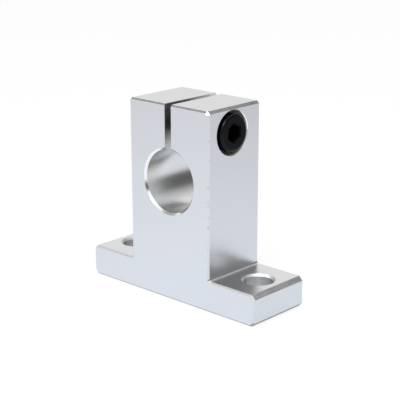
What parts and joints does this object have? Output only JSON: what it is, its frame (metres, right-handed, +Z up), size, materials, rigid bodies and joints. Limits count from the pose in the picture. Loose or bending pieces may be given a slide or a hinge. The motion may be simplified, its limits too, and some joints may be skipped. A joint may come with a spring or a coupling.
{
  "type": "shaft support block",
  "caption": "Aluminium shaft support: a split upright grips a round shaft when its clamp screw is tightened, and a foot bolts down to a flat surface.",
  "frame": {"origin": "centre of the base face, the flat bottom of the foot", "axes": "+X along the foot towards the clamp screw's head, +Y along the shaft, +Z up"},
  "size_m": [0.042, 0.014, 0.0375],
  "materials": {
    "anodised_aluminium": "satin, clear anodised",
    "black_steel": "black oxide, semi-gloss"
  },
  "bodies": {
    "block": {"block": "anodised_aluminium"},
    "clamp_screw": {"clamp_screw": "black_steel"}
  },
  "joints": [
    {"name": "clamp_screw_turn", "type": "hinge", "parent": "block", "child": "clamp_screw", "pos_m": [0.0065, -0.0006, 0.0327], "axis": [-1, 0, 0], "range_deg": [-450, 90]}
  ]
}
